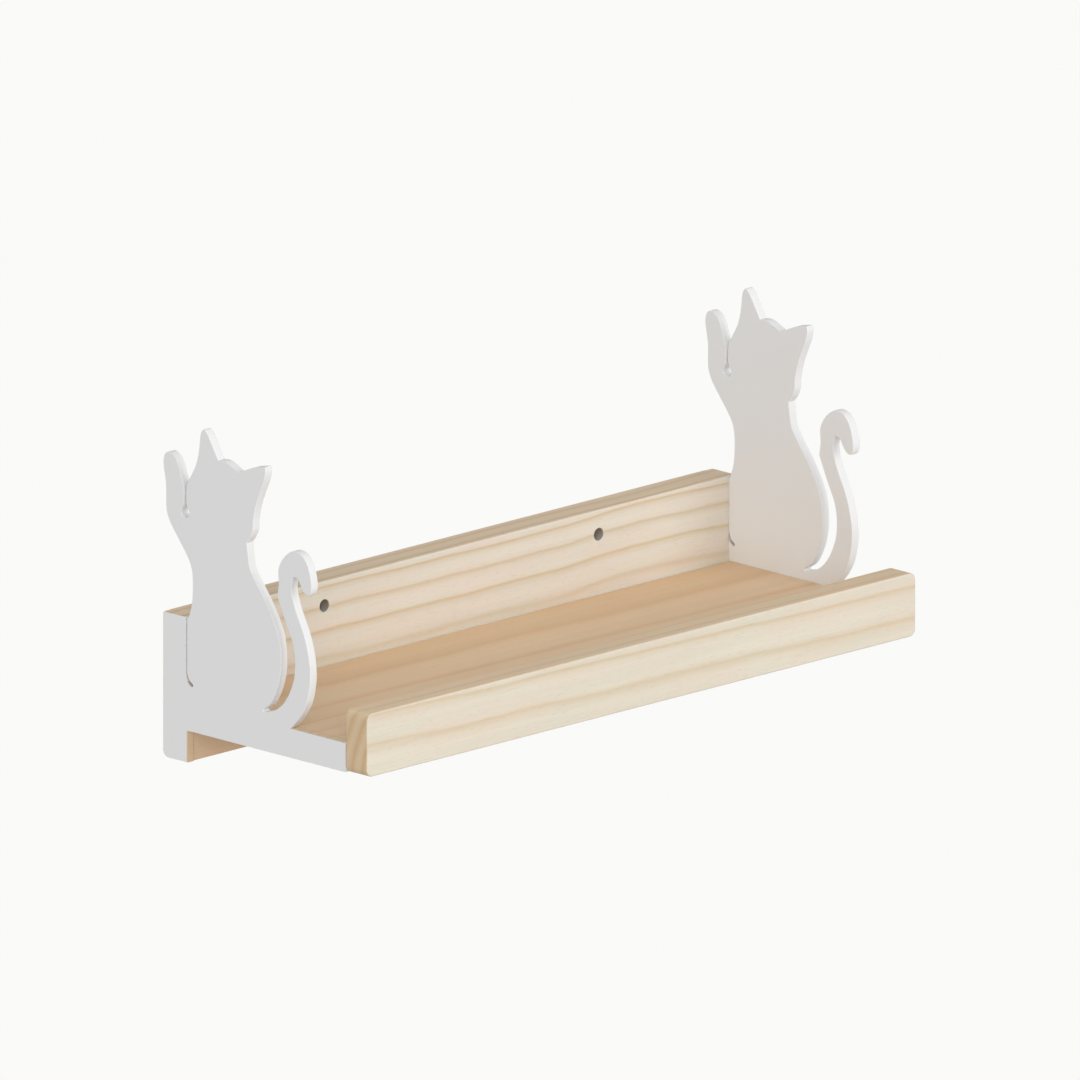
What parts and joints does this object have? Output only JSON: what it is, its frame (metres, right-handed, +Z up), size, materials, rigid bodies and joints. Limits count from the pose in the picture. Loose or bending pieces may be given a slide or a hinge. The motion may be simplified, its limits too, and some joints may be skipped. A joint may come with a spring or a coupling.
{
  "type": "wall shelf",
  "caption": "Small pine wall shelf with a back board, a front rail and thin white end panels cut as sitting cats, to hang on screws.",
  "frame": {"origin": "on the wall plane, at the back board's rear face, in the middle of the length and at the height of the two hanging holes", "axes": "+X along the shelf's length, +Y into the wall, -Y into the room, +Z up"},
  "size_m": [0.4, 0.15, 0.1808],
  "materials": {
    "pine": "planed pine under a thin matt clear coat",
    "white_paint": "board sprayed satin white",
    "beech": "raw beech dowel",
    "zinc_steel": "zinc-plated steel"
  },
  "bodies": {
    "root": {"back_board": "pine", "shelf_board": "pine", "front_rail": "pine", "left_cat_panel": "white_paint", "right_cat_panel": "white_paint", "rear_screw_left": "zinc_steel", "rear_screw_centre": "zinc_steel", "rear_screw_right": "zinc_steel", "rail_dowel_1": "beech", "rail_dowel_2": "beech", "rail_dowel_3": "beech", "rail_dowel_4": "beech", "left_panel_brad_1": "zinc_steel", "left_panel_brad_2": "zinc_steel", "left_panel_brad_3": "zinc_steel", "left_panel_brad_4": "zinc_steel", "right_panel_brad_1": "zinc_steel", "right_panel_brad_2": "zinc_steel", "right_panel_brad_3": "zinc_steel", "right_panel_brad_4": "zinc_steel"}
  },
  "joints": []
}
